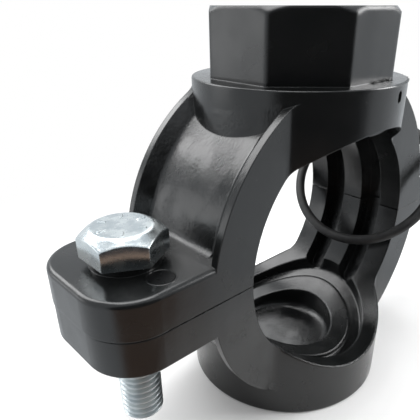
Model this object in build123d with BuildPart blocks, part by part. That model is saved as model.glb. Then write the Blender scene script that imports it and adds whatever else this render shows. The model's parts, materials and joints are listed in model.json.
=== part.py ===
"""Tapping saddle for a 50 mm plastic pipe.

Two moulded halves close round the pipe and are drawn together by two hexagon bolts.
The upper half carries an octagonal threaded outlet over a collar, the lower half a round
foot. The origin is the middle of the foot's flat underside, +Z points up along the outlet
and +Y runs along the pipe. All sizes are in millimetres.
"""

import os
from math import copysign, cos, isclose, radians, sin

from build123d import *

# ---- Driving dimensions ----

# pipe seat
pipe_radius = 25.0
pipe_room = 0.4  # between the pipe and its seat before the bolts are drawn up
foot_height = 35.9  # from the foot's underside to the pipe's axis
split_gap = 0.2  # between the two halves

# half rings
band_width = 26.4
band_thickness = 9.3
rim_width = 1.4
channel_depth = 2.6
channel_flank = 2.6  # how far the channel's sloping side reaches in from the rim
channel_round = 1.2

# ears
ear_reach = 53.9  # from the outlet's axis to the ear's end
ear_thickness = 6.8
ear_corner = 8.8
ear_edge_round = 0.9
ear_base_round = 0.3  # along the lower ears' undersides
bolt_inset = 11.2  # from the ear's end to the bolt
ear_blend = 1.6  # soft corner where the ear's top meets the channel's floor
seat_boss_radius = 6.1  # low round boss under each bolt's head
seat_boss_height = 1.3
parting_step = 0.2  # the lower half's ears end this much short of the upper ones
nut_stop_width = 13.0  # rib under each lower ear that keeps the nut from turning
nut_stop_height = 3.0
nut_room = 0.25

# collar and outlet
collar_radius = 21.15
collar_height = 32.85  # from the pipe's axis
collar_edge_round = 0.35
side_blend = 3.0  # soft corners where the collar and the foot meet the band's sides
boss_across_flats = 34.0
boss_height = 12.3
boss_corner_round = 1.0
crown_drop = 1.1  # height of the cone that trims the octagon's corners
crown_inset = 1.05
thread_radius = 13.22  # major radius of the G 3/4 thread
thread_depth = 17.0
mouth_chamfer = 0.8
tapping_radius = 9.5  # the way that the pipe is drilled through
notch_width = 1.5  # small gate notch under the collar's rim
notch_height = 2.2
notch_depth = 0.7
notch_drop = 1.2
notch_angle = -81.0

# seal seat, moulded in both halves
seat_radius = 18.9
seat_step = 1.4  # the seat's land lies this far behind the pipe seat
groove_width = 3.0
groove_depth = 1.1  # below the land
recess_radius = 11.5
recess_depth = 4.8  # below the pipe seat's lowest line
recess_round = 2.0

# pockets that lighten the arms
pocket_width = 5.4
pocket_offset = 5.3
pocket_depth = 4.2
pocket_sweep = 43.0  # from the split to the middle of the pocket's round end

# foot
foot_radius = 22.7
foot_edge_round = 0.6

# seal ring, hung loosely round the right arm
ring_section = 2.4
ring_middle = (29.23, -0.5, 4.37)  # from the pipe's axis
ring_tilt = -48.0  # of its own axis from +Z, towards -X
ring_turn = 13.7

# M8 fasteners
bolt_radius = 4.0
bolt_length = 35.0
hex_across_flats = 13.0
head_height = 5.3
head_face_radius = 5.0
head_cone_drop = 1.55
point_chamfer = 1.0
nut_height = 6.5
nut_face_radius = 6.1
nut_cone_drop = 0.7
running_room = 0.05  # round the bolt in the upper ear and in its nut
passing_room = 0.5  # round the bolt in the lower ear

# ---- Places that follow from them ----

seat_wall_radius = pipe_radius + pipe_room
rim_radius = seat_wall_radius + band_thickness
floor_radius = rim_radius - channel_depth
land_radius = seat_wall_radius + seat_step
groove_floor_radius = land_radius + groove_depth
recess_floor = seat_wall_radius + recess_depth  # below the pipe's axis
bolt_reach = ear_reach - bolt_inset
half_gap = split_gap / 2
ear_face = half_gap + ear_thickness
head_base = ear_face + seat_boss_height
boss_top = collar_height + boss_height
ring_radius = seat_radius - groove_width / 2
half_mouth = band_width / 2 - rim_width
half_floor = half_mouth - channel_flank
beyond = 2 * ear_reach  # clear of the whole part

pipe_level = Plane.XY.offset(foot_height)
pipe_axis = Axis((0, 0, foot_height), (0, 1, 0))
across = Plane(origin=(0, 0, foot_height), x_dir=(1, 0, 0), z_dir=(0, -1, 0))
along = Plane(origin=(0, 0, foot_height), x_dir=(0, 1, 0), z_dir=(1, 0, 0))
bolt_spots = {"left": -bolt_reach, "right": bolt_reach}


def level(height):
    """The level plane at a height above the pipe's axis."""
    return pipe_level.offset(height)


def blended_band(hub_radius, top, bottom):
    """A half ring's band, with soft corners where a round hub of that radius meets its sides."""
    with BuildPart() as band:
        with BuildSketch(pipe_level) as plan:
            Rectangle(2 * rim_radius, band_width)
            Circle(hub_radius)
            fillet(plan.vertices().filter_by(lambda corner: abs(corner.X) < hub_radius), side_blend)
        extrude(amount=rim_radius, both=True)
        with BuildSketch(across):
            Circle(rim_radius)
            with Locations((0, top)):
                Rectangle(beyond, beyond, align=(Align.CENTER, Align.MIN), mode=Mode.SUBTRACT)
            with Locations((0, bottom)):
                Rectangle(beyond, beyond, align=(Align.CENTER, Align.MAX), mode=Mode.SUBTRACT)
        extrude(amount=hub_radius, both=True, mode=Mode.INTERSECT)
    return band.part


# ---- Shapes that both halves share ----

with BuildPart() as pipe_space:
    with BuildSketch(across):
        Circle(seat_wall_radius)
    extrude(amount=2 * foot_radius, both=True)

with BuildPart() as channel_ring:
    with BuildSketch(along) as channel_profile:
        with BuildLine():
            Polyline(
                (-half_mouth, rim_radius + rim_width),
                (-half_mouth, rim_radius),
                (-half_floor, floor_radius),
                (half_floor, floor_radius),
                (half_mouth, rim_radius),
                (half_mouth, rim_radius + rim_width),
                close=True,
            )
        make_face()
        fillet(channel_profile.vertices().group_by(Axis.Y)[0], channel_round)
    revolve(axis=pipe_axis)

with BuildPart() as arm_pockets:
    reach = seat_wall_radius + pocket_depth
    end_x = reach * cos(radians(pocket_sweep))
    end_z = reach * sin(radians(pocket_sweep))
    for side in (-1, 1):
        for offset in (-pocket_offset, pocket_offset):
            middle = Plane(origin=(0, offset, foot_height), x_dir=(1, 0, 0), z_dir=(0, -1, 0))
            with BuildSketch(middle):
                with BuildLine():
                    ThreePointArc((side * end_x, -end_z), (side * reach, 0), (side * end_x, end_z))
                    Polyline((side * end_x, end_z), (0, 0), (side * end_x, -end_z))
                make_face()
            extrude(amount=pocket_width / 2, both=True)
            for turn in (-pocket_sweep, pocket_sweep):
                outward = (side * cos(radians(turn)), 0, sin(radians(turn)))
                with BuildSketch(Plane(origin=(0, offset, foot_height), x_dir=(0, 1, 0), z_dir=outward)):
                    Circle(pocket_width / 2)
                extrude(amount=reach)

with BuildPart() as seal_land:
    with BuildSketch(across):
        Circle(land_radius)
    extrude(amount=seat_radius + seat_step, both=True)
    with BuildSketch(pipe_level):
        Circle(seat_radius)
    extrude(amount=collar_height, both=True, mode=Mode.INTERSECT)

with BuildPart() as seal_groove:
    with BuildSketch(across):
        Circle(groove_floor_radius)
    extrude(amount=seat_radius + seat_step, both=True)
    with BuildSketch(pipe_level):
        Circle(seat_radius)
        Circle(seat_radius - groove_width, mode=Mode.SUBTRACT)
    extrude(amount=collar_height, both=True, mode=Mode.INTERSECT)


def ear_corners(face, split):
    """The soft corners between one half's ears and its channel, from the split outwards."""
    outermost = face + copysign(2 * ear_blend, face)
    with BuildPart() as corners:
        with BuildSketch(across) as front:
            Circle(floor_radius)
            Rectangle(2 * (floor_radius + ear_blend), 2 * abs(face))
            fillet(front.vertices().filter_by(lambda corner: abs(corner.X) < floor_radius), ear_blend)
        extrude(amount=half_floor, both=True)
        with BuildSketch(across):
            with Locations((0, (split + outermost) / 2)):
                Rectangle(beyond, abs(outermost - split))
        extrude(amount=band_width, both=True, mode=Mode.INTERSECT)
    return corners.part


# ---- Upper half ----

with BuildPart() as upper_ears:
    with BuildSketch(level(half_gap)):
        RectangleRounded(2 * ear_reach, band_width, ear_corner)
    extrude(amount=ear_thickness)
    fillet(upper_ears.faces().sort_by(Axis.Z)[-1].edges(), ear_edge_round)
    with BuildSketch(level(half_gap)):
        with Locations((-bolt_reach, 0), (bolt_reach, 0)):
            Circle(seat_boss_radius)
    extrude(amount=ear_thickness + seat_boss_height)

with BuildPart() as outlet_boss:
    with BuildSketch(level(collar_height)) as octagon:
        RegularPolygon(boss_across_flats / 2, 8, major_radius=False, rotation=22.5)
        fillet(octagon.vertices(), boss_corner_round)
    extrude(amount=boss_height)
    crown_radius = boss_across_flats / 2 / cos(radians(22.5))
    with BuildSketch(across):
        with BuildLine():
            Polyline(
                (0, 0),
                (crown_radius, 0),
                (crown_radius, boss_top - crown_drop),
                (crown_radius - crown_inset, boss_top),
                (0, boss_top),
                close=True,
            )
        make_face()
    revolve(axis=Axis.Z, mode=Mode.INTERSECT)

with BuildPart() as collar:
    with BuildSketch(level(half_gap)):
        Circle(collar_radius)
    extrude(amount=collar_height - half_gap)
    fillet(collar.edges().group_by(Axis.Z)[-1], collar_edge_round)

with BuildPart() as upper_saddle:
    add(blended_band(collar_radius, collar_height - collar_edge_round, half_gap))
    add(channel_ring.part, mode=Mode.SUBTRACT)
    add(ear_corners(ear_face, half_gap))
    add(upper_ears.part)
    add(collar.part)
    add(outlet_boss.part)
    for cutter in (pipe_space, arm_pockets, seal_land, seal_groove):
        add(cutter.part, mode=Mode.SUBTRACT)
    # the drilling way and the threaded outlet above it
    with BuildSketch(pipe_level):
        Circle(tapping_radius)
    extrude(amount=boss_top, mode=Mode.SUBTRACT)
    with BuildSketch(level(boss_top)):
        Circle(thread_radius)
    extrude(amount=-thread_depth, mode=Mode.SUBTRACT)
    mouth = upper_saddle.edges().filter_by(GeomType.CIRCLE).group_by(Axis.Z)[-1].sort_by(SortBy.RADIUS)[0]
    chamfer(mouth, mouth_chamfer)
    # a bolt hole through each ear
    with BuildSketch(pipe_level):
        with Locations((-bolt_reach, 0), (bolt_reach, 0)):
            Circle(bolt_radius + running_room)
    extrude(amount=head_base, mode=Mode.SUBTRACT)
    # the gate notch
    notch_facing = (cos(radians(notch_angle)), sin(radians(notch_angle)), 0)
    notch_plane = Plane(
        origin=(0, 0, foot_height + collar_height - notch_drop - notch_height / 2),
        x_dir=(-notch_facing[1], notch_facing[0], 0),
        z_dir=notch_facing,
    )
    with BuildSketch(notch_plane.offset(collar_radius - notch_depth)):
        SlotOverall(notch_height, notch_width, rotation=90)
    extrude(amount=2 * notch_depth, mode=Mode.SUBTRACT)

# ---- Lower half ----

with BuildPart() as lower_ears:
    with BuildSketch(level(-half_gap)):
        RectangleRounded(2 * (ear_reach - parting_step), band_width, ear_corner - parting_step)
    extrude(amount=-ear_thickness)
    fillet(lower_ears.faces().sort_by(Axis.Z)[0].edges(), ear_base_round)

with BuildPart() as foot:
    with BuildSketch(Plane.XY):
        Circle(foot_radius)
    extrude(amount=foot_height - half_gap)
    fillet(foot.edges().group_by(Axis.Z)[0], foot_edge_round)

with BuildPart() as lower_saddle:
    add(blended_band(foot_radius, -half_gap, -rim_radius))
    add(channel_ring.part, mode=Mode.SUBTRACT)
    add(ear_corners(-ear_face, -half_gap))
    add(lower_ears.part)
    # a rib beside each nut
    stop_face = bolt_reach - hex_across_flats / 2 - nut_room
    for side in (-1, 1):
        with BuildSketch(level(-ear_face + ear_base_round)):
            with Locations((side * (stop_face + seat_wall_radius) / 2, 0)):
                Rectangle(stop_face - seat_wall_radius, nut_stop_width)
        extrude(amount=-(nut_stop_height + ear_base_round))
    add(foot.part)
    for cutter in (pipe_space, arm_pockets, seal_land, seal_groove):
        add(cutter.part, mode=Mode.SUBTRACT)
    # the round recess in the middle of the seat
    with BuildSketch(level(-recess_floor)):
        Circle(recess_radius)
    extrude(amount=recess_floor, mode=Mode.SUBTRACT)
    circles = lower_saddle.edges().filter_by(GeomType.CIRCLE)
    fillet(
        circles.filter_by(lambda edge: isclose(edge.center().Z, foot_height - recess_floor)),
        recess_round,
    )
    with BuildSketch(pipe_level):
        with Locations((-bolt_reach, 0), (bolt_reach, 0)):
            Circle(bolt_radius + passing_room)
    extrude(amount=-beyond, mode=Mode.SUBTRACT)

# ---- Seal ring ----

lean = radians(ring_tilt)
bearing = radians(ring_turn)
ring_axis = (sin(lean) * cos(bearing), sin(lean) * sin(bearing), cos(lean))
ring_plane = Plane(
    origin=(ring_middle[0], ring_middle[1], foot_height + ring_middle[2]), z_dir=ring_axis
)
with BuildPart() as seal_ring:
    with BuildSketch(Plane(origin=ring_plane.origin, x_dir=ring_plane.x_dir, z_dir=ring_plane.y_dir)):
        with Locations((ring_radius, 0)):
            Circle(ring_section / 2)
    revolve(axis=Axis(ring_plane.origin, ring_plane.z_dir))

# ---- Bolts and nuts ----


def hexagon_bolt(spot):
    """An M8 hexagon bolt that hangs from its head at the upper ear's boss."""
    with BuildPart() as bolt:
        with BuildSketch(level(head_base)):
            with Locations((spot, 0)):
                RegularPolygon(hex_across_flats / 2, 6, major_radius=False, rotation=30)
        extrude(amount=head_height)
        corner = hex_across_flats / 2 / cos(radians(30))
        low = head_base + head_height - head_cone_drop
        with BuildSketch(across):
            with BuildLine():
                Polyline(
                    (spot, head_base),
                    (spot + corner, head_base),
                    (spot + corner, low),
                    (spot + head_face_radius, head_base + head_height),
                    (spot, head_base + head_height),
                    close=True,
                )
            make_face()
        revolve(axis=Axis((spot, 0, 0), (0, 0, 1)), mode=Mode.INTERSECT)
        with BuildSketch(level(head_base)):
            with Locations((spot, 0)):
                Circle(bolt_radius)
        extrude(amount=-bolt_length)
        chamfer(bolt.edges().group_by(Axis.Z)[0], point_chamfer)
    return bolt.part


def hexagon_nut(spot):
    """An M8 nut against the lower ear's underside."""
    with BuildPart() as nut:
        with BuildSketch(level(-ear_face)):
            with Locations((spot, 0)):
                RegularPolygon(hex_across_flats / 2, 6, major_radius=False, rotation=30)
        extrude(amount=-nut_height)
        corner = hex_across_flats / 2 / cos(radians(30))
        base = -ear_face - nut_height
        with BuildSketch(across):
            with BuildLine():
                Polyline(
                    (spot, base),
                    (spot + nut_face_radius, base),
                    (spot + corner, base + nut_cone_drop),
                    (spot + corner, -ear_face),
                    (spot, -ear_face),
                    close=True,
                )
            make_face()
        revolve(axis=Axis((spot, 0, 0), (0, 0, 1)), mode=Mode.INTERSECT)
        with BuildSketch(level(-ear_face)):
            with Locations((spot, 0)):
                Circle(bolt_radius + running_room)
        extrude(amount=-nut_height, mode=Mode.SUBTRACT)
    return nut.part


# ---- Finished pieces ----

pieces = {
    "upper_saddle": upper_saddle.part,
    "lower_saddle": lower_saddle.part,
    "seal_ring": seal_ring.part,
}
for side_name, spot in bolt_spots.items():
    pieces[f"bolt_{side_name}"] = hexagon_bolt(spot)
    pieces[f"nut_{side_name}"] = hexagon_nut(spot)

os.makedirs("parts", exist_ok=True)
for name, piece in pieces.items():
    piece.label = name
    export_step(piece, f"parts/{name}.step")
    print(name, "volume", round(piece.volume, 1))
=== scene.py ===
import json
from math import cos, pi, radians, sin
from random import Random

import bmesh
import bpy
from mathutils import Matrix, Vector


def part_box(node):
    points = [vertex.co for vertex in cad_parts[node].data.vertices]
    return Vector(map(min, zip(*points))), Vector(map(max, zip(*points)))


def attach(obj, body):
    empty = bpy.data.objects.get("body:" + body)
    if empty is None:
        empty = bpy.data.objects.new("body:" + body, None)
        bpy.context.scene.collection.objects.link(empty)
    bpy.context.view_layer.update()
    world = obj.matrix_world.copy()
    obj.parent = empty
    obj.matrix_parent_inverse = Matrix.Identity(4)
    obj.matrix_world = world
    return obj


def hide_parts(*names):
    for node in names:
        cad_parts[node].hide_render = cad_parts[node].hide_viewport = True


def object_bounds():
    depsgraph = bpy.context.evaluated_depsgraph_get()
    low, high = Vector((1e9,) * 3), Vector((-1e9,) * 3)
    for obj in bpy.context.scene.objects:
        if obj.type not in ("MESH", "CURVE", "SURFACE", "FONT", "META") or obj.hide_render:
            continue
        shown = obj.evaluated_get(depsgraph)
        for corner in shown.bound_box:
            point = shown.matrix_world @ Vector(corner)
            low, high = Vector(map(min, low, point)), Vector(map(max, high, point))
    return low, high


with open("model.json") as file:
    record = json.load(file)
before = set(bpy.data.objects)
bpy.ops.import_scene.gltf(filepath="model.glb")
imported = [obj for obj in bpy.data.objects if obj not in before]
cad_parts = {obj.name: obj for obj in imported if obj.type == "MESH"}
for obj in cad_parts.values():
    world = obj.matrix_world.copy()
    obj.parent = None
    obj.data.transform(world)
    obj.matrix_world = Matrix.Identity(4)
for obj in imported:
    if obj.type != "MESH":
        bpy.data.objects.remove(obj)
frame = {"nodes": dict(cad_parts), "record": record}

# %% [markdown]
# # A tapping saddle, dressed
# A tapping saddle clamps round a plastic pipe, so that a branch can be taken off it. The
# frame that was just loaded holds its true pieces: two black mouldings, two bolts, two nuts
# and a rubber ring. They are in the right place and at the right size, but they are bare.
# This lesson gives them plastic, zinc and rubber, cuts the threads, and adds the small marks
# that moulding leaves.
#
# Shapes are worked out in millimetres, as on a workshop drawing, and turned into Blender's
# metres at the end. Heights and radii that the frame already knows are read from it, so that
# the dress still fits if the part changes.

MM = 0.001
cad_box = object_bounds()
mounts = {mount["name"]: mount for mount in frame["record"]["mounts"]}
print("model from", cad_box[0], "to", cad_box[1])
print("it is fastened by its", ", ".join(mounts))


def node_box(node):
    """A node's lowest and highest corner, in millimetres."""
    low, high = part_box(node)
    return [v / MM for v in low], [v / MM for v in high]


# %% [markdown]
# ## Camera
# The camera comes first, because every later choice is judged through it. It stands close to
# the part, level with the top of the outlet, and looks down at the near ear. It could be
# turned until the part sits well in the frame, but a small lens shift does that without
# turning it, so upright edges keep their lean.

# %% Camera
camera_data = bpy.data.cameras.new("camera")
camera_data.sensor_width = 36.0
camera_data.lens = 40.39
camera_data.shift_x = -0.0661
camera_data.shift_y = 0.0739
camera_data.clip_start = 0.005
camera_data.clip_end = 20.0
camera = bpy.data.objects.new("camera", camera_data)
camera.location = (-0.077368, -0.063163, 0.081057)
camera.rotation_euler = (radians(63.42), 0.0, radians(-43.89))
bpy.context.scene.collection.objects.link(camera)
bpy.context.scene.camera = camera
bpy.context.scene.view_settings.view_transform = "Standard"
print("camera at", tuple(camera.location))

# %% [markdown]
# ## Node helpers
# A material in Blender is a small graph of nodes. It could be drawn by hand in the shader
# editor. In a script a few short helpers keep it just as readable: one adds a node with its
# settings, one starts a material and hands back its main shader, and the others do a sum, a
# range or a mixed colour each. A plain value goes straight onto the shader's own socket.

# %% Node helpers


def add_node(tree, kind, inputs=None, **settings):
    """A node of that kind, its settings, and its sockets filled with values or links."""
    node = tree.nodes.new(kind)
    for key, value in settings.items():
        setattr(node, key, value)
    for key, value in (inputs or {}).items():
        if isinstance(value, bpy.types.NodeSocket):
            tree.links.new(value, node.inputs[key])
        else:
            node.inputs[key].default_value = value
    return node


def start_material(name):
    """An empty material, its tree, its main shader and the piece's own coordinates."""
    material = bpy.data.materials.new(name)
    material.use_nodes = True
    tree = material.node_tree
    tree.nodes.clear()
    shader = add_node(tree, "ShaderNodeBsdfPrincipled")
    output = add_node(tree, "ShaderNodeOutputMaterial")
    tree.links.new(shader.outputs["BSDF"], output.inputs["Surface"])
    place = add_node(tree, "ShaderNodeTexCoord").outputs["Object"]
    return material, tree, shader, place


def combine(tree, operation, first, second=0.0):
    """One or two values put through a sum, a product, a square root or the like."""
    node = add_node(tree, "ShaderNodeMath", {0: first, 1: second}, operation=operation)
    return node.outputs["Value"]


def vector_step(tree, operation, first, second=(0.0, 0.0, 0.0)):
    """A step on vectors: a plain number for a length or a dot product, and else a vector."""
    node = add_node(tree, "ShaderNodeVectorMath", {0: first, 1: second}, operation=operation)
    return node.outputs["Value" if operation in ("LENGTH", "DOT_PRODUCT") else "Vector"]


def spread(tree, value, low, high, new_low=0.0, new_high=1.0):
    """A value carried smoothly from one range to another."""
    node = add_node(
        tree,
        "ShaderNodeMapRange",
        {"Value": value, "From Min": low, "From Max": high, "To Min": new_low, "To Max": new_high},
        interpolation_type="SMOOTHSTEP",
    )
    return node.outputs["Result"]


def within(tree, value, full, none):
    """1 where a value lies nearer to nought than full, falling to 0 at none."""
    return spread(tree, combine(tree, "ABSOLUTE", value), none, full)


def tint(tree, amount, first, second):
    """A colour that runs from the first to the second as amount goes from 0 to 1."""
    node = add_node(tree, "ShaderNodeMix", data_type="RGBA")
    tree.links.new(amount, node.inputs["Factor"])
    for socket, value in (("A", first), ("B", second)):
        target = next(s for s in node.inputs if s.name == socket and s.type == "RGBA")
        if isinstance(value, bpy.types.NodeSocket):
            tree.links.new(value, target)
        else:
            target.default_value = value
    return next(s for s in node.outputs if s.type == "RGBA")


print("node helpers ready")

# %% [markdown]
# ## Surface helpers
# No real surface is even. Its marks could be painted on a picture and wrapped round the
# piece, but a picture blurs close up and has to be laid out flat. Noise that is worked out
# from the place in space has neither fault, so every mark here is made of it. Bumps raise the
# shading without adding faces.

# %% Surface helpers


def grain(tree, place, scale, detail=2.0, stretch=(1.0, 1.0, 1.0), turn=(0.0, 0.0, 0.0), rough=0.5):
    """Noise with that many grains to a metre, drawn out along the axes by stretch."""
    mapping = add_node(
        tree, "ShaderNodeMapping", {"Vector": place, "Scale": stretch, "Rotation": turn}
    )
    noise = add_node(
        tree,
        "ShaderNodeTexNoise",
        {"Vector": mapping.outputs["Vector"], "Scale": scale, "Detail": detail, "Roughness": rough},
    )
    return noise.outputs["Fac"]


def scattered(tree, place, scale, spot, chosen):
    """A small spot in a few of many cells. Both ranges run from none to full."""
    cells = add_node(tree, "ShaderNodeTexVoronoi", {"Vector": place, "Scale": scale})
    draw = add_node(tree, "ShaderNodeSeparateColor", {"Color": cells.outputs["Color"]})
    spots = spread(tree, cells.outputs["Distance"], *spot)
    return combine(tree, "MULTIPLY", spots, spread(tree, draw.outputs[0], *chosen))


def dashes(tree, place, scale, stretch, turn):
    """Short straight scratches: spots in cells that are drawn out long."""
    mapping = add_node(
        tree, "ShaderNodeMapping", {"Vector": place, "Scale": stretch, "Rotation": turn}
    )
    return scattered(tree, mapping.outputs["Vector"], scale, (0.035, 0.015), (0.68, 0.74))


def rounded_normal(tree, radius):
    """Shading that softens sharp edges by that radius."""
    return add_node(tree, "ShaderNodeBevel", {"Radius": radius}, samples=6).outputs["Normal"]


def bump(tree, height, distance, normal=None):
    """A surface raised by height times distance, in metres."""
    inputs = {"Height": height, "Distance": distance, "Strength": 1.0}
    if normal is not None:
        inputs["Normal"] = normal
    return add_node(tree, "ShaderNodeBump", inputs).outputs["Normal"]


print("surface helpers ready")

# %% [markdown]
# ## Black plastic
# The saddle is moulded from black polypropylene. It is never mirror smooth: the steel mould
# leaves a faint grain, the plastic's flow leaves slow waves in the surface, and handling
# leaves fine scratches and a few pale specks. One even, shiny black would look like glass, so
# the finish carries all of these as layers.
#
# The outer channel between the band's two flanks is scuffed more than the rest. A mask finds
# it: the places that lie a set distance from the pipe's axis, and near the band's middle.

# %% Plastic: the layers of grain, and a mask for the channel
saddle_plastic, tree, shader, place = start_material("saddle_plastic")
patches = grain(tree, place, 170.0, detail=3.0)
flow = grain(tree, place, 90.0, detail=2.0, stretch=(1.0, 1.0, 0.35))
skin = grain(tree, place, 5200.0, detail=2.0)
scuffs = grain(tree, place, 2000.0, detail=4.0, stretch=(1.0, 1.0, 0.6), rough=0.65)

AXIS_HEIGHT = mounts["pipe_seat"]["pos_m"][2] / MM
CHANNEL_RADIUS = 32.1
parts_of_place = add_node(tree, "ShaderNodeSeparateXYZ", {"Vector": place}).outputs
along_pipe, height = parts_of_place["Y"], parts_of_place["Z"]
from_axis = vector_step(tree, "SUBTRACT", place, (0.0, 0.0, AXIS_HEIGHT * MM))
from_pipe = vector_step(tree, "LENGTH", vector_step(tree, "MULTIPLY", from_axis, (1.0, 0.0, 1.0)))
off_channel = combine(tree, "SUBTRACT", from_pipe, CHANNEL_RADIUS * MM)
at_radius = within(tree, off_channel, 2.8 * MM, 4.0 * MM)
at_middle = within(tree, along_pipe, 11.4 * MM, 12.4 * MM)
channel = combine(tree, "MULTIPLY", at_radius, at_middle)
print("the pipe's axis lies", round(AXIS_HEIGHT, 2), "mm up")

# %% [markdown]
# Scratches run in two directions, as handling leaves them. Specks are dust and chips that
# catch the light. Both are spots in scattered cells, so that each lies alone.

# %% Plastic: scratches and specks
scratches = combine(
    tree,
    "MAXIMUM",
    dashes(tree, place, 300.0, (1.0, 0.07, 1.0), (0.3, 0.5, 0.2)),
    dashes(tree, place, 260.0, (0.07, 1.0, 1.0), (0.4, -0.6, 0.5)),
)
specks = scattered(tree, place, 640.0, (0.075, 0.03), (0.93, 0.95))
print("scratches and specks ready")

# %% [markdown]
# The colour is nearly black everywhere, because this plastic is dyed right through. A scratch
# is a little paler, and a speck is grey. The gloss changes from patch to patch, and a scratch
# is duller than what lies round it.

# %% Plastic: colour and gloss
DEEP_BLACK = (0.0042, 0.0047, 0.0048, 1.0)
SOFT_BLACK = (0.0068, 0.0073, 0.0074, 1.0)
SCRATCH_GREY = (0.06, 0.06, 0.06, 1.0)
SPECK_GREY = (0.16, 0.16, 0.155, 1.0)
pigment = tint(tree, patches, DEEP_BLACK, SOFT_BLACK)
pigment = tint(tree, combine(tree, "MULTIPLY", scratches, 0.2), pigment, SCRATCH_GREY)
pigment = tint(tree, combine(tree, "MULTIPLY", specks, 0.8), pigment, SPECK_GREY)
tree.links.new(pigment, shader.inputs["Base Color"])
gloss = spread(tree, patches, 0.3, 0.7, 0.17, 0.28)
gloss = combine(tree, "ADD", gloss, combine(tree, "MULTIPLY", scratches, 0.15))
tree.links.new(gloss, shader.inputs["Roughness"])
shader.inputs["Specular IOR Level"].default_value = 0.5
print("plastic coloured")

# %% [markdown]
# No mould has a knife edge. The corners could be rounded in the mesh, but softening them in
# the shading takes no faces and blends them evenly. The boss above the collar has the widest
# corners, the foot comes next, and the rest are nearly sharp. The grain, the scuffs and the
# scratches are then stacked on that as bumps.

# %% Plastic: soft edges and relief
COLLAR_TOP = AXIS_HEIGHT + 32.85
FOOT_TOP = 19.0
EDGE_RADIUS = 0.25
BOSS_EDGE_RADIUS = 1.1
FOOT_EDGE_RADIUS = 0.8
boss_edge = spread(
    tree,
    height,
    (COLLAR_TOP + 0.25) * MM,
    (COLLAR_TOP + 0.85) * MM,
    EDGE_RADIUS * MM,
    BOSS_EDGE_RADIUS * MM,
)
foot_edge = spread(tree, height, FOOT_TOP * MM, (FOOT_TOP - 2.5) * MM, 0.0, FOOT_EDGE_RADIUS * MM)
soft_edges = rounded_normal(tree, combine(tree, "MAXIMUM", boss_edge, foot_edge))
worn = combine(tree, "MULTIPLY", channel, spread(tree, patches, 0.38, 0.58, 0.25, 1.0))
rubbed = combine(tree, "MULTIPLY", scuffs, combine(tree, "MAXIMUM", worn, 0.12))
relief = bump(tree, flow, 0.16 * MM, soft_edges)
relief = bump(tree, rubbed, 0.10 * MM, relief)
relief = bump(tree, skin, 0.008 * MM, relief)
relief = bump(tree, scratches, -0.004 * MM, relief)
tree.links.new(relief, shader.inputs["Normal"])
print("black plastic ready")

# %% [markdown]
# ## Zinc plate
# The bolts and nuts are steel with a bright zinc plate. The plate is a metal, so its colour
# is its reflection: slightly blue, cloudy in patches, and pitted where the forging scale was.
# Tumbling in the plating barrel leaves small dents. An even grey metal would look like
# chrome, so clouds change both the colour and the haze. Below the heads, where the shank and
# the nut are less rubbed, the plate is duller.

# %% Zinc plate
UNDER_HEAD = 43.5
zinc_plate, tree, shader, place = start_material("zinc_plate")
clouds = grain(tree, place, 420.0, detail=4.0)
pits = grain(tree, place, 2600.0, detail=3.0)
dents = grain(tree, place, 900.0, detail=1.0)
plate = tint(tree, spread(tree, clouds, 0.35, 0.65), (0.50, 0.545, 0.565, 1.0), (0.60, 0.64, 0.645, 1.0))
tree.links.new(plate, shader.inputs["Base Color"])
shader.inputs["Metallic"].default_value = 1.0
height = add_node(tree, "ShaderNodeSeparateXYZ", {"Vector": place}).outputs["Z"]
haze = spread(tree, clouds, 0.3, 0.7, 0.22, 0.30)
haze = combine(tree, "ADD", haze, spread(tree, pits, 0.6, 0.8, 0.0, 0.15))
dull = spread(tree, height, UNDER_HEAD * MM, (UNDER_HEAD - 3.0) * MM, 0.0, 0.2)
tree.links.new(combine(tree, "ADD", haze, dull), shader.inputs["Roughness"])
dented = bump(tree, dents, 0.012 * MM, rounded_normal(tree, 0.15 * MM))
tree.links.new(bump(tree, pits, 0.008 * MM, dented), shader.inputs["Normal"])
print("zinc plate ready")

# %% [markdown]
# ## Rubber
# The seal ring is smooth black rubber with a dry bloom, duller and a touch warmer than the
# plastic. It could take the plastic's finish with less gloss, but the bloom is what tells
# rubber apart, so it has its own noise for colour and gloss, and a fine powder as its bump.

# %% Rubber
seal_rubber, tree, shader, place = start_material("seal_rubber")
bloom = grain(tree, place, 700.0, detail=4.0)
powder = grain(tree, place, 6000.0, detail=2.0)
rubber_tint = tint(tree, spread(tree, bloom, 0.4, 0.75), (0.008, 0.008, 0.0085, 1.0), (0.02, 0.02, 0.02, 1.0))
tree.links.new(rubber_tint, shader.inputs["Base Color"])
tree.links.new(spread(tree, bloom, 0.3, 0.7, 0.5, 0.62), shader.inputs["Roughness"])
tree.links.new(bump(tree, powder, 0.006 * MM), shader.inputs["Normal"])
print("rubber ready")

# %% [markdown]
# ## The moulded pieces
# The two mouldings and the ring keep the shapes that they were built with. They could be
# modelled again here, but their shapes are right already, so they only take their finish.

# %% Finish on the mouldings and the ring


def dress(node, material):
    """A carried-over node takes a material."""
    mesh = frame["nodes"][node].data
    mesh.materials.clear()
    mesh.materials.append(material)
    print(node, "takes", material.name)


dress("upper_saddle", saddle_plastic)
dress("lower_saddle", saddle_plastic)
dress("seal_ring", seal_rubber)

# %% [markdown]
# ## Turned shapes
# A bolt, a nut and a thread all go round one axis. They could be cut from cylinders with
# booleans, but those leave ragged faces along a thread. Instead each is a grid: rows run along
# the profile, columns go round, and a small function says how far each point lies from the
# axis. One function for hexagons and one for threads then cover them all.

# %% A grid wrapped round an axis


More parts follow.
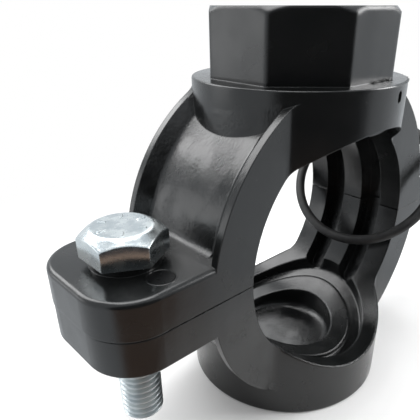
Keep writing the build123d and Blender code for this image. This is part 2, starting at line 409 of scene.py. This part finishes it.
def wrap_grid(rows, columns, place_point, close_profile=False):
    """Points and faces of a grid that closes on itself round an axis."""
    points = [place_point(row, 2 * pi * column / columns) for row in range(rows) for column in range(columns)]
    faces = []
    for row in range(rows if close_profile else rows - 1):
        below = (row + 1) % rows
        for column in range(columns):
            beside = (column + 1) % columns
            faces.append(
                (
                    row * columns + column,
                    below * columns + column,
                    below * columns + beside,
                    row * columns + beside,
                )
            )
    if not close_profile:
        faces.append(tuple(range(columns)))
        faces.append(tuple(reversed([(rows - 1) * columns + column for column in range(columns)])))
    return points, faces


def hexagon_reach(angle, half_flats):
    """Distance from a hexagon's middle to its side. Its corners point along +Y and -Y."""
    turn = (angle + radians(30)) % radians(60) - radians(30)
    return half_flats / cos(turn)


def thread_height(phase, crest=0.12, root=0.22):
    """How high a thread stands at a phase from 0 to 1: 1 on its crest, 0 in its root."""
    away = abs((phase % 1.0) - 0.5) * 2.0
    climb = min(1.0, max(0.0, (away - crest) / (1.0 - crest - root)))
    return 0.5 + 0.5 * cos(pi * climb)


print("grid, hexagon and thread ready")

# %% [markdown]
# Every new piece is made in the same way: its grids are joined in one mesh and turned into
# metres, its faces are turned outwards, and it is shaded smooth with its true corners kept.
# It then says which finish it stands for, and which moving body it rides on.

# %% One object from several grids


def make_piece(name, grids, material, body, angle=35.0):
    """One object from several sets of points and faces, in millimetres, riding on a body."""
    points, faces = [], []
    for grid_points, grid_faces in grids:
        start = len(points)
        points += [tuple(v * MM for v in point) for point in grid_points]
        faces += [tuple(start + index for index in face) for face in grid_faces]
    mesh = bpy.data.meshes.new(name)
    mesh.from_pydata(points, [], faces)
    mesh.validate()
    outward = bmesh.new()
    outward.from_mesh(mesh)
    bmesh.ops.recalc_face_normals(outward, faces=outward.faces)
    outward.to_mesh(mesh)
    outward.free()
    mesh.materials.append(material)
    piece = bpy.data.objects.new(name, mesh)
    bpy.context.scene.collection.objects.link(piece)
    mesh.shade_smooth()
    mesh.set_sharp_from_angle(angle=radians(angle))
    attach(piece, body)
    print(name, len(mesh.polygons), "faces on", body)
    return piece


# %% [markdown]
# ## Bolts
# Each bolt is an M8: 13 mm across its flats, with a thread that climbs 1.25 mm a turn. The
# forging die leaves a flat round face on the head, and round it a cone that trims the six
# corners. A cylinder with six sides could be cut by a cone, but the real face bends over
# softly into it. So the top's drop is given at a few distances from the middle and read
# between them. A grid with a column on each corner keeps the corners true.

# %% The bolt head's profile
HALF_FLATS = 6.5
HEX_COLUMNS = 120
HEAD_HEIGHT = 5.3
FLAT_EDGE = 5.4
EDGE_BREAK = 0.16
CORNER_RADIUS = HALF_FLATS / cos(radians(30))
# how far the head's top has dropped at each distance from its middle
TOP_DROP = ((0.0, 0.0), (4.8, 0.0), (5.2, 0.05), (5.6, 0.24), (6.2, 0.70), (6.8, 1.13), (7.6, 1.62))


def drop_at(reach):
    """The drop of the head's top at that distance, read between the points of TOP_DROP."""
    for (inner, low), (outer, high) in zip(TOP_DROP, TOP_DROP[1:]):
        if reach <= outer:
            return low + (high - low) * (reach - inner) / (outer - inner)
    return TOP_DROP[-1][1]


def head_rows(top, base):
    """The head's profile, from its top to its bearing face.

    Each row is a function: it takes how far the hexagon's side lies from the middle, and
    gives the row's own (reach, height) there.
    """

    def round_face(reach):
        return lambda side: (reach, top - drop_at(reach))

    def cone(share):
        def at(side):
            reach = FLAT_EDGE + (side - 0.12 - FLAT_EDGE) * share
            return reach, top - drop_at(reach)

        return at

    rows = [round_face(reach) for reach in (1.0, 2.6, 4.2, 4.6, 4.8, 5.0, 5.2)]
    rows += [cone(step / 7) for step in range(8)]
    # down the side, with both edges broken, and in to a ring hidden in the shank
    rows += [
        lambda side: (side - 0.04, top - drop_at(side) - 0.04),
        lambda side: (side, top - drop_at(side) - EDGE_BREAK),
        lambda side: (side, base + EDGE_BREAK),
        lambda side: (side - 0.05, base + 0.05),
        lambda side: (side - EDGE_BREAK, base),
        lambda side: (3.0, base),
    ]
    return rows


def hexagon_solid(middle, rows, close_profile=False):
    """A grid with hexagon sides from a list of profile rows."""

    def place_point(row, angle):
        reach, height = rows[row](hexagon_reach(angle, HALF_FLATS))
        return middle[0] + reach * cos(angle), middle[1] + reach * sin(angle), height

    return wrap_grid(len(rows), HEX_COLUMNS, place_point, close_profile)


print("bolt head:", 2 * HALF_FLATS, "mm across flats,", round(2 * CORNER_RADIUS, 2), "across corners")

# %% [markdown]
# The shank's thread shows below the nut, so it is cut as real ridges and not as a bump: a
# bump would leave the shank's outline straight. The thread runs out smoothly below the plain
# part of the shank, and a small cone leads it in at the tip.

# %% The threaded shank
THREAD_RADIUS = 3.96
THREAD_ROOT = 3.30
THREAD_PITCH = 1.25
ROWS_A_TURN = 14
SHANK_COLUMNS = 64
TIP_RADIUS = 2.75
TIP_SLOPE = 1.15


def threaded_shank(middle, tip, thread_top, top):
    """The shank: plain at its top, threaded below, with a small cone at its tip."""
    rows = int((thread_top - tip) / THREAD_PITCH * ROWS_A_TURN)
    heights = [tip + (thread_top - tip) * row / rows for row in range(rows + 1)]
    heights += [thread_top + 0.6, top]

    def place_point(row, angle):
        height = heights[row]
        if height > thread_top:
            reach = THREAD_RADIUS
        else:
            ridge = thread_height(height / THREAD_PITCH - angle / (2 * pi))
            reach = THREAD_ROOT + (THREAD_RADIUS - THREAD_ROOT) * ridge
            runout = max(0.0, 1.0 - (thread_top - height) / THREAD_PITCH)
            reach += (THREAD_RADIUS - reach) * runout
            reach = min(reach, TIP_RADIUS + (height - tip) * TIP_SLOPE)
        return middle[0] + reach * cos(angle), middle[1] + reach * sin(angle), height

    return wrap_grid(len(heights), SHANK_COLUMNS, place_point)


print("shank thread:", 2 * THREAD_RADIUS, "mm across, pitch", THREAD_PITCH)

# %% [markdown]
# A bolt's head is stamped where it was forged. Here it has six plain raised ticks, one toward
# each side, which name nothing. They could be a bump, but a raised line catches the light
# along its edges.

# %% Both bolts
TICK_HEIGHT = 0.16
TICK_SINK = 0.3
SHANK_SINK = 0.3
PLAIN_LENGTH = 9.0


def tick(middle, angle, top, inner=2.9, outer=4.5, half_width=0.26):
    """A short raised line on the head, pointing at its middle. Its foot is sunk in the head."""
    points = []
    for lift, trim in ((-TICK_SINK, 0.0), (TICK_HEIGHT, 0.08)):
        for reach, sideways in ((inner, -1), (outer, -1), (outer, 1), (inner, 1)):
            along = reach + (trim if reach == inner else -trim)
            across = sideways * (half_width - trim)
            x = middle[0] + along * cos(angle) - across * sin(angle)
            y = middle[1] + along * sin(angle) + across * cos(angle)
            points.append((x, y, top + lift))
    sides = [(step, (step + 1) % 4, (step + 1) % 4 + 4, step + 4) for step in range(4)]
    return points, sides + [(0, 1, 2, 3), (4, 5, 6, 7)]


for side in ("left", "right"):
    low, high = node_box(f"bolt_{side}")
    middle = ((low[0] + high[0]) / 2, (low[1] + high[1]) / 2)
    top = high[2] - TICK_HEIGHT
    base = high[2] - HEAD_HEIGHT
    head = hexagon_solid(middle, head_rows(top, base))
    shank = threaded_shank(middle, low[2], base - PLAIN_LENGTH, base + SHANK_SINK)
    ticks = [tick(middle, radians(60) * step, top) for step in range(6)]
    bolt = make_piece(
        f"zinc_bolt_{side}", [head, shank] + ticks, zinc_plate, f"bolt_{side}"
    )
    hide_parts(f"bolt_{side}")

# %% [markdown]
# ## Nuts
# A nut is the bolt head's cousin: the same hexagon, with a cone that trims the corners of
# both faces, and a hole. Its thread is hidden by the bolt that fills it, so the hole is left
# smooth, with its mouths opened out. The profile runs round the solid and back to its start,
# so the grid closes both ways and no face has to be cut.

# %% Both nuts
NUT_FACE = 6.1
NUT_TRIM = 0.7
NUT_BORE = 4.06
NUT_MOUTH = 0.45


def nut_rows(top, base):
    """The nut's closed profile, down its side and up its hole."""
    slope = NUT_TRIM / (CORNER_RADIUS - NUT_FACE)

    def cone(share, face, turn):
        def at(side):
            reach = NUT_FACE + (side - 0.08 - NUT_FACE) * share
            return reach, face + turn * (0.03 + (reach - NUT_FACE) * slope)

        return at

    rows = [lambda side: (NUT_FACE - 0.1, top)]
    rows += [cone(step / 4, top, -1) for step in range(5)]
    rows += [
        lambda side: (side, top - 0.12 - (side - NUT_FACE) * slope),
        lambda side: (side, base + 0.12 + (side - NUT_FACE) * slope),
    ]
    rows += [cone(step / 4, base, 1) for step in range(4, -1, -1)]
    rows += [
        lambda side: (NUT_FACE - 0.1, base),
        lambda side: (NUT_BORE + NUT_MOUTH, base),
        lambda side: (NUT_BORE, base + NUT_MOUTH),
        lambda side: (NUT_BORE, top - NUT_MOUTH),
        lambda side: (NUT_BORE + NUT_MOUTH, top),
    ]
    return rows


for side in ("left", "right"):
    low, high = node_box(f"nut_{side}")
    middle = ((low[0] + high[0]) / 2, (low[1] + high[1]) / 2)
    solid = hexagon_solid(middle, nut_rows(high[2], low[2]), close_profile=True)
    nut = make_piece(f"zinc_nut_{side}", [solid], zinc_plate, "lower")
    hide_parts(f"nut_{side}")

# %% [markdown]
# ## The outlet's thread
# The outlet takes a three-quarter inch pipe thread. The moulding's wall stands at the
# thread's widest radius, and cutting into it would change a finished piece. So the ridges are
# a sleeve that lines it: its outside is hidden in the wall, and its inside reaches in by the
# thread's depth. The ridges fade out at both ends, as a cut or moulded thread does.

# %% Outlet thread
OUTLET_RADIUS = mounts["outlet"]["dims"]["r_mm"]
OUTLET_LENGTH = mounts["outlet"]["dims"]["length_mm"]
OUTLET_DEPTH = 1.162
OUTLET_PITCH = 1.814
OUTLET_COLUMNS = 128
SLEEVE_WALL = 0.12
outlet_middle = mounts["outlet"]["pos_m"][2] / MM
outlet_top = outlet_middle + OUTLET_LENGTH / 2
outlet_floor = outlet_middle - OUTLET_LENGTH / 2


def outlet_sleeve():
    """The threaded lining of the outlet, closed round its profile."""
    low, high = outlet_floor + 1.5, outlet_top - 0.1
    rows = int((high - low) / OUTLET_PITCH * ROWS_A_TURN)
    heights = [low + (high - low) * row / rows for row in range(rows + 1)]

    def place_point(row, angle):
        if row > rows:
            reach, height = OUTLET_RADIUS + SLEEVE_WALL, heights[2 * rows + 1 - row]
        else:
            height = heights[row]
            fade = min(1.0, (height - low) / 1.6, (high - height) / 1.1)
            ridge = thread_height(height / OUTLET_PITCH - angle / (2 * pi), crest=0.16, root=0.16)
            reach = OUTLET_RADIUS - OUTLET_DEPTH * ridge * max(0.0, fade)
        return reach * cos(angle), reach * sin(angle), height

    return wrap_grid(2 * (rows + 1), OUTLET_COLUMNS, place_point, close_profile=True)


make_piece("outlet_thread", [outlet_sleeve()], saddle_plastic, "upper", angle=60.0)

# %% [markdown]
# ## Marks of the mould's pins
# A pin that pushes the warm part out of its mould leaves a small round mark on the ear: a low ring, and a
# duller face inside it, where the pin's end pressed. That face is also painted a little darker: painted
# shade, as in a shallow hollow. A bump could draw the ring, but a raised one also catches the light along its
# edge, so both are thin turned shapes, partly sunk in the ear.

# %% Pin marks on the ears
PIN_RADIUS = 2.5
PIN_COLUMNS = 48
PIN_SPOTS = ((-41.9, -8.9), (41.9, 8.9))
HEAD_SEAT = 1.3
ear_top = node_box("bolt_left")[1][2] - HEAD_HEIGHT - HEAD_SEAT
# each profile's (reach from the pin's middle, lift above the ear)
PIN_RING = (
    (PIN_RADIUS - 0.35, -0.2),
    (PIN_RADIUS - 0.25, 0.06),
    (PIN_RADIUS - 0.05, 0.09),
    (PIN_RADIUS + 0.05, 0.04),
    (PIN_RADIUS + 0.15, -0.2),
)
PIN_FLOOR = ((1.0, 0.02), (PIN_RADIUS - 0.3, 0.02), (PIN_RADIUS - 0.2, -0.1), (1.0, -0.1))


def turned_on_ear(spot, profile, close_profile=False):
    """A profile turned round an upright line that stands on the ear."""

    def place_point(row, angle):
        reach, lift = profile[row]
        return spot[0] + reach * cos(angle), spot[1] + reach * sin(angle), ear_top + lift

    return wrap_grid(len(profile), PIN_COLUMNS, place_point, close_profile)


pin_finish_and_shade, tree, shader, place = start_material("pin_finish_and_shade")
satin = grain(tree, place, 1400.0, detail=3.0)
# painted shade: the face inside the ring is a little darker than the plastic round it
pin_shade_tint = tint(tree, satin, (0.0032, 0.0034, 0.0037, 1.0), (0.0048, 0.0050, 0.0053, 1.0))
tree.links.new(pin_shade_tint, shader.inputs["Base Color"])
tree.links.new(spread(tree, satin, 0.3, 0.7, 0.27, 0.34), shader.inputs["Roughness"])
shader.inputs["Specular IOR Level"].default_value = 0.12
tree.links.new(bump(tree, satin, 0.006 * MM), shader.inputs["Normal"])

rings = [turned_on_ear(spot, PIN_RING, close_profile=True) for spot in PIN_SPOTS]
floors = [turned_on_ear(spot, PIN_FLOOR) for spot in PIN_SPOTS]
make_piece("pin_marks", rings, saddle_plastic, "upper")
make_piece("pin_floors", floors, pin_finish_and_shade, "upper")

# %% [markdown]
# ## Flash
# Where the mould's halves meet, a little plastic squeezes out and is trimmed off, which
# leaves a thin ragged edge called flash. It could be sculpted by hand. Here it is a thin ridge
# that follows a path, with heights drawn at random from a fixed seed, so that it comes out
# the same every time. A cube of each draw keeps most of the ridge low.

# %% A ragged ridge along a path
FLASH_ROOT = 0.12
FLASH_HALF_WIDTH = 0.045


def flash(path, outward, reach, seed, steps=90):
    """A thin ragged ridge along a path, both given as functions of a share from 0 to 1."""
    draw = Random(seed)
    heights = [0.02 + reach * draw.random() ** 3 for step in range(steps + 1)]

    def place_point(row, angle):
        share = row / steps
        spot = Vector(path(share))
        out = Vector(outward(share)).normalized()
        ahead = Vector(path(min(1.0, share + 0.02))) - Vector(path(max(0.0, share - 0.02)))
        sideways = ahead.cross(out).normalized()
        rise = cos(angle) * (heights[row] if cos(angle) > 0 else FLASH_ROOT)
        return tuple(spot + out * rise + sideways * sin(angle) * FLASH_HALF_WIDTH)

    return wrap_grid(steps + 1, 4, place_point)


print("a ridge is", 2 * FLASH_HALF_WIDTH, "mm thick")

# %% [markdown]
# Flash is left on the collar's upper edge, at the foot of the boss, on the foot's lip, and
# along the line where the two ears meet. Each has a path, and a way that its ridge points.
# On the foot it points straight up, so that it stays inside the foot's outline.

# %% Paths, and the ways that flash points
COLLAR_RADIUS = node_box("upper_saddle")[1][1]
FOOT_RADIUS = node_box("lower_saddle")[1][1]
SEAT_RADIUS = 25.4
LIP_INSET = 0.06


def straight(start, end):
    """A straight path from one point to another."""
    return lambda share: tuple(a + (b - a) * share for a, b in zip(start, end))


def always(*way):
    """The same way all along."""
    return lambda share: way


def round_axis(radius, start, end, height_at):
    """A path round the upright axis, between two bearings in degrees."""

    def path(share):
        bearing = radians(start + (end - start) * share)
        x, y = radius * cos(bearing), radius * sin(bearing)
        return x, y, height_at(x)

    return path


def away_from_axis(path):
    """Straight out from the upright axis, and a little up."""
    return lambda share: (*path(share)[:2], 8.0)


def collar_edge(start, end):
    """Along the collar's upper edge."""
    return round_axis(COLLAR_RADIUS, start, end, lambda x: COLLAR_TOP - 0.2)


def foot_lip(start, end):
    """Along the foot's lip, where the pipe's seat cuts the round foot."""
    return round_axis(
        FOOT_RADIUS - LIP_INSET, start, end, lambda x: AXIS_HEIGHT - (SEAT_RADIUS**2 - x**2) ** 0.5
    )


print("collar", round(COLLAR_RADIUS, 2), "mm and foot", round(FOOT_RADIUS, 2), "mm in radius")

# %% [markdown]
# The upper half has three ridges and the lower half has four. Each ridge has its own seed, so
# no two look alike.

# %% Flash on both halves
EAR_SIDE = 13.2
EAR_SEAM = AXIS_HEIGHT - 0.1
collar_right = collar_edge(-72, -38)
upper_ridges = [
    flash(collar_right, away_from_axis(collar_right), 0.30, 3),
    flash(straight((-1.5, -17.1, COLLAR_TOP), (6.5, -17.1, COLLAR_TOP)), always(0.0, -0.5, 0.8), 0.75, 7),
    flash(straight((-1.0, -17.4, COLLAR_TOP), (6.0, -17.4, COLLAR_TOP)), always(0.0, -0.9, 0.5), 0.45, 9),
]
left_seam = straight((-44.0, -EAR_SIDE, EAR_SEAM), (-27.0, -EAR_SIDE, EAR_SEAM))
right_seam = straight((44.0, EAR_SIDE, EAR_SEAM), (27.0, EAR_SIDE, EAR_SEAM))
lower_ridges = [
    flash(foot_lip(-128, -30), always(0.0, 0.0, 1.0), 0.30, 5, steps=220),
    flash(foot_lip(60, 120), always(0.0, 0.0, 1.0), 0.25, 8, steps=160),
    flash(left_seam, always(0.0, -1.0, 0.0), 0.22, 11),
    flash(right_seam, always(0.0, 1.0, 0.0), 0.22, 12),
]
make_piece("upper_flash", upper_ridges, saddle_plastic, "upper")
make_piece("lower_flash", lower_ridges, saddle_plastic, "lower")

# %% [markdown]
# ## Floor
# The part stands on a plain pale floor. Near the part the floor is an ordinary surface, so it
# takes a soft shadow. Further out it fades to plain white for the camera.
#
# Black plastic shows its shape by what it reflects, and in an all-white room it would look flat and grey. So
# a shiny face sees something else of the floor, a painted reflection of a room: white too, but with a painted
# dark side, as a real room has, and a painted warm patch where that dark side comes near the ear. Dark cards
# round the part would do the same, but they would stand in the way of other views.

# %% The floor's mesh, and the dark side of the room
FLOOR_REACH = 6.0
WHITE = (1.0, 1.0, 1.0, 1.0)
COOL_WHITE = (0.915, 0.96, 1.0, 1.0)
ROOM_DARK = (0.03, 0.03, 0.035, 1.0)
WARM_PATCH = (0.41, 0.275, 0.205, 1.0)
# the level direction of the dark side, and the point on the floor where it starts
DARK_SIDE = (-0.375, -0.927, 0.0)
DARK_START = (-0.030, -0.010, 0.0)
# how near to that direction, as a cosine, the dark begins and is full
DARK_COSINES = (0.53, 0.743)

corners = ((-1, -1), (1, -1), (1, 1), (-1, 1))
floor_mesh = bpy.data.meshes.new("floor")
floor_mesh.from_pydata(
    [(x * FLOOR_REACH, y * FLOOR_REACH, cad_box[0][2]) for x, y in corners], [], [(0, 1, 2, 3)]
)
floor = bpy.data.objects.new("floor", floor_mesh)
bpy.context.scene.collection.objects.link(floor)
print("floor laid at", cad_box[0][2])

# %% [markdown]
# The floor's finish mixes a dull white surface with plain white light. The camera sees the surface near the
# part and the light further out. A shiny face sees the light with the painted dark side and warm patch in it,
# dimmed just beside the part, where the floor lies in shade: a painted shadow in the reflection.

# %% The floor's finish
floor_finish, tree, shader, place = start_material("floor_finish")
shader.inputs["Base Color"].default_value = (0.86, 0.86, 0.86, 1.0)
shader.inputs["Roughness"].default_value = 0.9
shader.inputs["Specular IOR Level"].default_value = 0.0
distance = vector_step(tree, "LENGTH", place)
ray = add_node(tree, "ShaderNodeLightPath")
direct = combine(tree, "MAXIMUM", ray.outputs["Is Camera Ray"], ray.outputs["Is Transmission Ray"])
mirrored = ray.outputs["Is Glossy Ray"]

from_start = vector_step(tree, "SUBTRACT", place, DARK_START)
facing = vector_step(tree, "DOT_PRODUCT", vector_step(tree, "NORMALIZE", from_start), DARK_SIDE)
sector = spread(tree, facing, *DARK_COSINES)
near = spread(tree, vector_step(tree, "LENGTH", from_start), 190 * MM, 85 * MM)
# painted reflection: the room's dark side, warm where it comes near the part
painted_dark_side = tint(tree, near, ROOM_DARK, WARM_PATCH)
pale = tint(tree, mirrored, WHITE, COOL_WHITE)
seen_colour = tint(tree, combine(tree, "MULTIPLY", sector, mirrored), pale, painted_dark_side)
# painted shadow in the reflection, just beside the part
dimmer = combine(tree, "MULTIPLY", mirrored, spread(tree, distance, 85 * MM, 30 * MM, 0.0, 0.45))
brightness = combine(tree, "SUBTRACT", 1.0, dimmer)
light = add_node(tree, "ShaderNodeEmission", {"Color": seen_colour, "Strength": brightness})

far = combine(tree, "MULTIPLY", spread(tree, distance, 35 * MM, 160 * MM), direct)
close = combine(tree, "MULTIPLY", spread(tree, distance, 35 * MM, 65 * MM), mirrored)
blend = add_node(tree, "ShaderNodeMixShader", {"Fac": combine(tree, "MAXIMUM", far, close)})
tree.links.new(shader.outputs["BSDF"], blend.inputs[1])
tree.links.new(light.outputs["Emission"], blend.inputs[2])
output = next(node for node in tree.nodes if node.type == "OUTPUT_MATERIAL")
tree.links.new(blend.outputs["Shader"], output.inputs["Surface"])
floor_mesh.materials.append(floor_finish)
print("floor finished")

# %% [markdown]
# ## World
# The world is what lies behind everything. The camera sees it plain white. A shiny face sees
# it white with the same dark side as the floor has, so that both join up at the horizon.
# Everything else gets a low, even light from it. One white for all would be simpler, but it
# would wash the black plastic out.

# %% World
world = bpy.data.worlds.new("studio")
bpy.context.scene.world = world
world.use_nodes = True
tree = world.node_tree
tree.nodes.clear()
toward = add_node(tree, "ShaderNodeTexCoord").outputs["Generated"]
facing = vector_step(tree, "DOT_PRODUCT", toward, DARK_SIDE)
room = spread(tree, facing, *DARK_COSINES, 0.95, 0.05)
ray = add_node(tree, "ShaderNodeLightPath")
mirror_ray = combine(tree, "MAXIMUM", ray.outputs["Is Glossy Ray"], ray.outputs["Is Transmission Ray"])
shiny = add_node(tree, "ShaderNodeBackground", {"Color": COOL_WHITE, "Strength": room})
ambient = add_node(tree, "ShaderNodeBackground", {"Color": WHITE, "Strength": 0.6})
backdrop = add_node(tree, "ShaderNodeBackground", {"Color": WHITE, "Strength": 1.0})
reflected = add_node(tree, "ShaderNodeMixShader", {"Fac": mirror_ray})
tree.links.new(ambient.outputs["Background"], reflected.inputs[1])
tree.links.new(shiny.outputs["Background"], reflected.inputs[2])
seen = add_node(tree, "ShaderNodeMixShader", {"Fac": ray.outputs["Is Camera Ray"]})
tree.links.new(reflected.outputs["Shader"], seen.inputs[1])
tree.links.new(backdrop.outputs["Background"], seen.inputs[2])
world_output = add_node(tree, "ShaderNodeOutputWorld")
tree.links.new(seen.outputs["Shader"], world_output.inputs["Surface"])
print("world lit")

# %% [markdown]
# ## Lamps
# Five soft square lamps light the part. A single bright one would leave hard highlights and
# black shadows. Two on the left, one of them low, and one on the right give a sheen to the
# faces that turn towards them. The one at the back reaches the tops of the ears and the bolts,
# and the one above lights the floor evenly and keeps the shadow soft.

# %% Lamps
PART_MIDDLE = (0.0, 0.0, 0.04)


def soft_lamp(name, spot, size, power):
    """A square soft lamp at a spot, turned to the part's middle."""
    data = bpy.data.lights.new(name, "AREA")
    data.shape = "SQUARE"
    data.size = size
    data.energy = power
    lamp = bpy.data.objects.new(name, data)
    lamp.location = spot
    lamp.rotation_euler = (Vector(PART_MIDDLE) - Vector(spot)).to_track_quat("-Z", "Y").to_euler()
    bpy.context.scene.collection.objects.link(lamp)
    print(name, "at", spot, "with", power, "W")


soft_lamp("lamp_left", (-0.10, 0.32, 0.34), size=0.26, power=1.2)
soft_lamp("lamp_low", (-0.32, 0.30, 0.08), size=0.20, power=0.18)
soft_lamp("lamp_right", (0.34, -0.24, 0.24), size=0.22, power=2.0)
soft_lamp("lamp_back", (0.256, 0.215, 0.32), size=0.24, power=0.35)
soft_lamp("lamp_above", (0.02, 0.10, 0.50), size=0.30, power=1.6)
